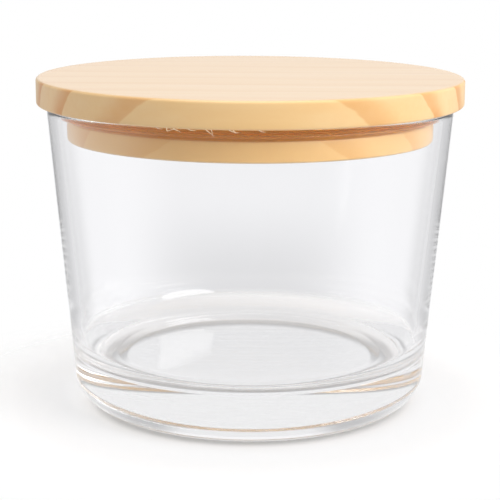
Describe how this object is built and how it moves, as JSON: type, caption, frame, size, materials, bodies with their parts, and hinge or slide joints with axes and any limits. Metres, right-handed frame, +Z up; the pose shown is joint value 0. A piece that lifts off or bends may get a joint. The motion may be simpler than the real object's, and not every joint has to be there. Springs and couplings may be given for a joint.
{
  "type": "candle jar",
  "caption": "Empty tapered round glass candle jar with a flat turned pine lid sealed by a clear silicone ring.",
  "frame": {"origin": "centre of the plane that the jar stands on, on the jar's axis", "axes": "+Z up along the jar's axis; the lid's wood grain runs along X; -Y is the front"},
  "size_m": [0.11, 0.11, 0.0857],
  "materials": {
    "clear_glass": "clear pressed glass, fire-polished",
    "pine": "pale pine, finely sanded, thin clear coat",
    "silicone": "clear silicone, smooth"
  },
  "bodies": {
    "jar": {"glass_jar": "clear_glass"},
    "seal": {"seal_ring": "silicone"},
    "cover": {"lid": "pine"}
  },
  "joints": [
    {"name": "lid_lift", "type": "slide", "parent": "jar", "child": "seal", "axis": [0, 0, 1], "range_m": [0, 0.06]},
    {"name": "lid_turn", "type": "hinge", "parent": "seal", "child": "cover", "pos_m": [0, 0, 0.0773], "axis": [0, 0, 1], "continuous": true}
  ]
}
